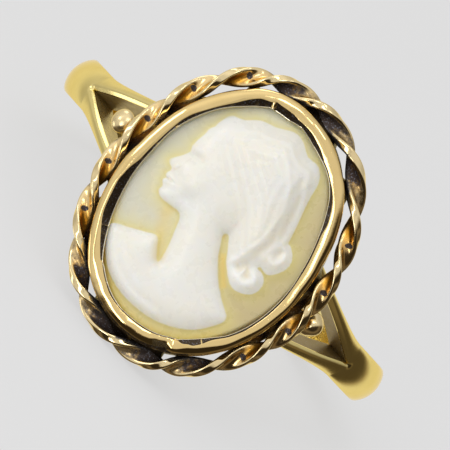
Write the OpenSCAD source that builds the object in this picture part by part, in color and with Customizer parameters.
// Cameo ring: a plain rounded band that forks at each shoulder and carries an oval collet,
// edged with twisted flat wire, in which a carved shell cameo is set.
// The ring lies on its side, as it rests by itself: on the lower end of its head
// and on the lower edge of the band's back, with the finger hole tilted from upright.

/* [Band] */
// Inside diameter of the band, which is the finger hole
finger_d = 17; // [15.5:0.1:19]
// Wall of the band at the height of the hole's centre
band_wall = 1.5; // [1.3:0.05:1.8]
// How much thinner the wall is at the back of the band
back_thinning = 0.15; // [0.05:0.05:0.3]
// Width of the band at the shoulders
band_w = 2.0; // [1.8:0.05:2.3]
// Width of the band at the back
back_w = 1.75; // [1.5:0.05:1.8]
// Radius of the band's rounded outside, across its width
crown_r = 1.3; // [1.2:0.05:1.5]

/* [Forked shoulders] */
// Angle from the middle of the head to the place where the band forks
fork_angle = 57; // [54:1:60]
// Half the space between two prongs where they meet the collet
fork_gap = 1.65; // [1.4:0.05:1.9]
// Width of a prong where it meets the collet
prong_w = 0.5; // [0.45:0.05:0.7]
// Radius of the small ball of metal soldered in each fork
grain_r = 0.6; // [0.5:0.02:0.65]

/* [Head] */
// Length of the oval collet over its rim
head_l = 12.65; // [12:0.05:13.5]
// Width of the oval collet over its rim
head_w = 9.93; // [9.5:0.01:10.5]
// Radius of the oval's two tight ends
end_r = 4.2; // [4:0.05:4.4]
// Height of the collet from its foot to its rim
collet_h = 2.75; // [2.6:0.05:3]
// Clearance between the finger hole and the foot of the collet
foot_clear = 0.25; // [0.15:0.05:0.4]
// Wall of the collet beside the stone
collet_wall = 0.42; // [0.36:0.02:0.5]
// How far the rim is pushed in over the stone
lip_reach = 0.24; // [0.2:0.02:0.3]
// How far the head is turned from straight along the finger
head_turn = 8; // [0:1:10]

/* [Twisted wire] */
// Wide side of the flat wire
wire_w = 0.88; // [0.8:0.02:0.94]
// Thin side of the flat wire
wire_t = 0.36; // [0.3:0.02:0.44]
// Hollow along the middle of each wide side
wire_dish = 0.05; // [0.02:0.01:0.08]
// Half turns of the wire on its way round the collet
half_turns = 16; // [12:2:20]
// Direction, round the oval, of the first place where the wire lies flat
first_flat = 10; // [0:1:20]
// Depth of the wire's centre below the rim
wire_drop = 0.95; // [0.8:0.05:1.1]
// Distance of the wire's centre from the collet, less than half its diagonal so that it is soldered on
wire_off = 0.43; // [0.38:0.01:0.44]

/* [Cameo] */
// Gap between the shell and the metal
stone_gap = 0.05; // [0.03:0.01:0.08]
// Thickness of the shell at its edge
stone_t = 1.36; // [1.2:0.02:1.4]
// Rise of the shell's ground from its edge to its middle
ground_rise = 0.2; // [0.1:0.02:0.3]
// Height of the carving, as a share of the drawing's heights
relief_share = 1.0; // [0.7:0.05:1.2]

/* [Rest on the table] */
// Tilt of the finger hole from upright, at which the head's end and the band's back both touch
rest_tilt = 17.36; // [15:0.02:20]
// Small roll that sets two beads of the twisted wire on the table
rest_roll = 0.34; // [-1:0.02:1]

/* [Hidden] */
gold = [0.87, 0.71, 0.38];
shell_white = [0.94, 0.92, 0.86];
$fn = 120;

bore_r = finger_d / 2;
band_r = bore_r + band_wall;
overcut = 0.2;
foot_z = bore_r + foot_clear;
rim_z = foot_z + collet_h;
half_l = head_l / 2;
half_w = head_w / 2;

// The oval is four arcs: two tight ends, and two long sides whose radius follows from the sizes.
end_x = half_l - end_r;
side_r = (end_x * end_x + half_w * half_w - end_r * end_r) / (2 * (half_w - end_r));
side_y = side_r - half_w;
join = atan2(side_y, end_x);

// Point of the oval, or of its parallel at a distance off, where the outward normal has this angle.
function oval_point(angle, off) =
    abs(sin(angle)) < sin(join)
        ? [sign(cos(angle)) * end_x + (end_r + off) * cos(angle), (end_r + off) * sin(angle)]
        : [(side_r + off) * cos(angle), (side_r + off) * sin(angle) - sign(sin(angle)) * side_y];

// Share of the way round that parallel at which this angle is reached.
function way_round(angle, off) =
    let (
        quarter = floor(angle / 90),
        turned = angle - 90 * quarter,
        first = quarter % 2 == 0 ? [end_r + off, join] : [side_r + off, 90 - join],
        second = quarter % 2 == 0 ? side_r + off : end_r + off,
        whole = first[0] * first[1] + second * (90 - first[1]),
        part = first[0] * min(turned, first[1]) + second * max(0, turned - first[1])
    )
    (quarter + part / whole) / 4;

// Faces between rows of points, each row a ring of n points; closed joins the last row to the first.
function skin_faces(rows, n, closed) = [
    for (i = [0 : rows - (closed ? 1 : 2)], j = [0 : n - 1])
        let (a = i * n, b = (i + 1) % rows * n, k = (j + 1) % n)
            for (face = [[a + j, b + k, b + j], [a + j, a + k, b + k]]) face
];

// Share of its full height that a rounded edge reaches at a share x of the way in.
function rounded(x) = x <= 0 ? 0 : x >= 1 ? 1 : pow(1 - (1 - x) * (1 - x), 0.8);

// Flat-sided inside, rounded outside: the band cut across, x from its axis and y across its width.
module band_section() {
    intersection() {
        union() {
            translate([band_r - crown_r, 0]) circle(r = crown_r);
            translate([bore_r - 2 * overcut, -band_w / 2]) square([band_wall - crown_r / 3, band_w]);
        }
        translate([bore_r - 2 * overcut, -band_w / 2]) square([band_wall + 3 * overcut, band_w]);
    }
}

// The band from one fork round the back to the other, thinner and narrower towards the back.
module band() {
    under = 90 - fork_angle;
    intersection() {
        rotate([90, 0, 0])
            translate([0, back_thinning, 0])
                rotate_extrude(angle = 180 + 2 * under, start = 180 - under)
                    band_section();
        rotate([90, 0, 90])
            linear_extrude(height = 3 * band_r, center = true)
                polygon([
                    [-back_w / 2, -band_r - 1], [back_w / 2, -band_r - 1],
                    [band_w / 2 + 0.01, band_r / 3], [band_w / 2 + 0.01, band_r],
                    [-band_w / 2 - 0.01, band_r], [-band_w / 2 - 0.01, band_r / 3]
                ]);
    }
}

// One prong: half of the band's section that spreads, narrows and climbs from the fork to the collet.
// It starts a little way inside the band, and its underside leaves the finger hole part of the way up.
prong_rows = 15;
prong_root = 3;
prong_end = 25.5;
prong_top = band_r + 0.62;
prong_under = bore_r + 1.22;
leaves_at = 0.42;
sunk = 0.02;
inner_bevel = 0.13;
end_crown = 0.55;
module prong(side) {
    across = [0.2, 0.55, 0.8, 1];
    points = [
        for (i = [0 : prong_rows - 1])
            let (
                sweep = fork_angle + prong_root - prong_end,
                angle = fork_angle + prong_root - i * sweep / (prong_rows - 1),
                way = (fork_angle - angle) / (fork_angle - prong_end),
                up = max(0, way),
                lift = max(0, way - leaves_at) / (1 - leaves_at),
                top = band_r - sunk + back_thinning * cos(angle) + (prong_top - band_r) * pow(up, 1.4),
                under = bore_r - overcut + (prong_under - bore_r + overcut) * pow(lift, 1.3),
                near = fork_gap * way,
                far = band_w / 2 - sunk + (fork_gap + prong_w - band_w / 2) * pow(up, 1.5),
                crown = 1 - (1 - end_crown) * up,
                bevel = inner_bevel * min(1, 0.2 + 5 * up),
                fall = [for (v = across) crown * (crown_r - sqrt(crown_r * crown_r - pow(v * band_w / 2, 2)))]
            )
            for (point = [
                [under, near],
                [under, far],
                [top - fall[3], far],
                [top - fall[2], near + across[2] * (far - near)],
                [top - fall[1], near + across[1] * (far - near)],
                [top - fall[0], near + bevel],
                [top - fall[0] - bevel, near]
            ])
            [point[0] * sin(angle), side * point[1], point[0] * cos(angle)]
    ];
    n = 7;
    last = (prong_rows - 1) * n;
    faces = concat(
        skin_faces(prong_rows, n, false),
        [[for (j = [n - 1 : -1 : 0]) j], [for (j = [0 : n - 1]) last + j]]
    );
    turned_over = [for (face = faces) [for (k = [len(face) - 1 : -1 : 0]) face[k]]];
    polyhedron(points, side > 0 ? faces : turned_over);
}

// The forked shoulders: two prongs on each side of the head.
module shoulders() {
    for (turn = [0, 180], side = [-1, 1])
        rotate([0, 0, turn]) prong(side);
}

// Puts what is drawn about the oval's centre, long axis along x, at the height of the rim.
module on_head() {
    translate([0, 0, rim_z]) rotate([0, 0, 90 + head_turn]) children();
}

// The collet's wall cut across: outwards from the oval, then up from the rim. It leans in at its foot,
// its rim is pushed over the stone, and a ledge inside carries the stone.
lip_under = 0.5;
lean_starts = 1.5;
foot_lean = 0.35;
edge_round = [[0, -0.32], [-0.06, -0.08], [-0.2, 0]];
ledge_w = 0.58;
ledge_slope = 0.1;
ground_drop = lip_under - 0.01;
ledge_drop = ground_drop + stone_t + stone_gap;
collet_rows = 120;
module collet() {
    section = [
        [-foot_lean, -collet_h], [0, -lean_starts], edge_round[0], edge_round[1], edge_round[2],
        [-collet_wall, -0.05], [-collet_wall - lip_reach, -lip_under],
        [-collet_wall, -lip_under - lip_reach], [-collet_wall, -ledge_drop],
        [-collet_wall - ledge_w, -ledge_drop], [ledge_slope - collet_wall - ledge_w, -collet_h]
    ];
    points = [
        for (i = [0 : collet_rows - 1], corner = section)
            let (angle = i * 360 / collet_rows, place = oval_point(angle, corner[0]))
                [place[0], place[1], corner[1]]
    ];
    polyhedron(points, skin_faces(collet_rows, len(section), true));
}

// The flat wire, twisted as it goes round the collet.
wire_rows = 192;
module twisted_wire() {
    section = [
        [-wire_w / 2, -wire_t / 2], [0, wire_dish - wire_t / 2], [wire_w / 2, -wire_t / 2],
        [wire_w / 2, wire_t / 2], [0, wire_t / 2 - wire_dish], [-wire_w / 2, wire_t / 2]
    ];
    points = [
        for (i = [0 : wire_rows - 1])
            let (
                angle = i * 360 / wire_rows,
                middle = oval_point(angle, wire_off),
                twist = 180 * half_turns * (way_round(angle, wire_off) - way_round(first_flat, wire_off))
            )
            for (corner = section)
                let (
                    out = corner[0] * cos(twist) - corner[1] * sin(twist),
                    up = corner[0] * sin(twist) + corner[1] * cos(twist)
                )
                [middle[0] + out * cos(angle), middle[1] + out * sin(angle), up - wire_drop]
    ];
    polyhedron(points, skin_faces(wire_rows, len(section), true));
}

// The ball of metal in a fork, on a short stem from the collet's wall.
grain_x = half_w + 1.1;
grain_z = -1.85;
stem_r = 0.32;
module grains() {
    for (turn = [0, 180]) rotate([0, 0, turn]) {
        translate([grain_x, 0, rim_z + grain_z]) sphere(r = grain_r, $fn = 48);
        translate([half_w - foot_lean, 0, rim_z + grain_z])
            rotate([0, 90, 0]) cylinder(r = stem_r, h = grain_x - half_w + foot_lean);
    }
}

// Turned on its side and tipped back until the lower edge of the band's back touches the table too.
back_half = back_w / 2 + 0.014;
back_edge = [back_half, band_r - back_thinning - crown_r + sqrt(crown_r * crown_r - back_half * back_half)];
rest_lift = back_edge[0] * cos(rest_tilt) + back_edge[1] * sin(rest_tilt);
rest_shift = 1.668;
module at_rest() {
    translate([0, rest_shift, rest_lift])
        rotate([0, rest_roll, 0])
            rotate([90 - rest_tilt, 0, 0])
                children();
}

module ring_mount() {
    color(gold)
    at_rest()
    difference() {
        union() {
            band();
            shoulders();
            on_head() collet();
            on_head() twisted_wire();
            grains();
        }
        rotate([90, 0, 0]) cylinder(r = bore_r, h = 3 * head_l, center = true);
    }
}

// Outlines of the carving on a drawing 9 wide and 11.7 high: x to the right, y up, from the middle.
// A lady's head and shoulders looking left: throat and shoulders, head, hair, and curls at the nape.
draw_w = 9;
draw_h = 11.7;
shoulders_line = [
    [-2.3, -0.6], [-1.5, -0.75], [-1.2, -1.45], [-1.0, -2.15], [-0.88, -2.95], [-1.25, -2.5], [-1.6, -2.05],
    [-2.2, -2.27], [-2.85, -2.58], [-3.45, -2.95], [-3.3, -3.35], [-2.8, -4.0], [-2.1, -4.6], [-1.05, -5.0],
    [0.15, -5.12], [1.15, -4.9], [2.1, -4.4], [2.7, -3.75], [3.05, -3.0], [2.35, -2.45], [1.6, -1.75],
    [1.0, -0.95], [0.6, -0.1], [0.2, 1.0], [-1.5, 1.0]
];
head_line = [
    [-2.5, 3.3], [-2.85, 2.6], [-2.93, 1.95], [-2.84, 1.68], [-3.36, 0.88], [-3.0, 0.6], [-3.08, 0.33],
    [-2.94, 0.15], [-3.02, -0.05], [-2.84, -0.22], [-2.88, -0.48], [-2.62, -0.7], [-2.1, -0.72],
    [-1.3, -0.4], [0.5, -0.3], [1.6, 1.5], [0.5, 4]
];
hair_line = [
    [-2.58, 2.95], [-2.66, 3.55], [-2.45, 4.1], [-1.95, 4.2], [-1.3, 4.7], [-0.65, 4.85], [0.2, 5.22],
    [0.75, 5.12], [1.3, 4.75], [1.95, 4.72], [2.4, 4.2], [2.55, 3.25], [2.78, 2.35], [3.0, 1.4],
    [3.1, 0.6], [2.6, -0.5], [1.9, -1.3], [1.2, -0.7], [0.75, -0.05], [0.2, 0.75], [-0.6, 1.35], [-1.7, 2.2]
];
upper_curl = [[2.55, -0.1], [2.75, 0.65], [3.1, 1.25], [3.6, 0.85], [3.66, 0.3], [3.25, -0.35], [2.8, -0.3]];
lower_curl = [
    [1.2, -0.7], [2.2, -0.55], [2.9, -0.45], [3.32, -0.85], [3.2, -1.45], [2.6, -1.78], [2.0, -1.6]
];
// Each layer of the carving: its outline, its height, and how far in its rounded edge reaches.
carving = [
    [shoulders_line, 0.5, 0.9],
    [head_line, 0.66, 1.5],
    [hair_line, 0.86, 1.7],
    [upper_curl, 0.6, 0.5],
    [lower_curl, 0.62, 0.5]
];

function edge_gap(p, a, b) =
    let (along = b - a, share = max(0, min(1, (p - a) * along / (along * along))))
    norm(p - a - share * along);

function crosses(p, a, b) =
    (a[1] > p[1]) != (b[1] > p[1]) && p[0] < a[0] + (b[0] - a[0]) * (p[1] - a[1]) / (b[1] - a[1]);

// How far a point is inside an outline, or zero outside it.
function depth_in(p, line) =
    let (
        n = len(line),
        hits = [for (i = [0 : n - 1]) if (crosses(p, line[i], line[(i + 1) % n])) 1]
    )
    len(hits) % 2 == 0 ? 0 : min([for (i = [0 : n - 1]) edge_gap(p, line[i], line[(i + 1) % n])]);

function relief(p) =
    relief_share * max([0, for (layer = carving) layer[1] * rounded(depth_in(p, layer[0]) / layer[2])]);

// The carved shell: rings of points from the middle outwards, then its rounded-over edge and flat back.
stone_rings = 30;
stone_spokes = 96;
ground_share = 0.945;
module cameo() {
    stone_off = -collet_wall - stone_gap;
    edge_z = -lip_under - lip_reach - 0.6 * stone_gap;
    ground_z = -ground_drop;
    back_z = ground_z - stone_t;
    n = stone_spokes;
    height = function (p, share)
        ground_z + ground_rise * (1 - share * share)
            + relief([-p[1] * draw_w / (head_w + 2 * stone_off), p[0] * draw_h / (head_l + 2 * stone_off)]);
    edge = [for (j = [0 : n - 1]) oval_point(j * 360 / n, stone_off)];
    points = concat(
        [[0, 0, height([0, 0], 0)]],
        [
            for (i = [1 : stone_rings], p = edge)
                let (share = i / stone_rings, q = ground_share * share * p)
                [q[0], q[1], height(q, share)]
        ],
        [for (p = edge) [p[0], p[1], edge_z]],
        [for (p = edge) [p[0], p[1], back_z]]
    );
    last = 1 + (stone_rings + 1) * n;
    faces = concat(
        [for (j = [0 : n - 1]) [0, 1 + (j + 1) % n, 1 + j]],
        [for (face = skin_faces(stone_rings + 2, n, false)) [for (corner = face) corner + 1]],
        [[for (j = [0 : n - 1]) last + j]]
    );
    color(shell_white)
    at_rest() on_head() polyhedron(points, faces);
}

ring_mount();
cameo();
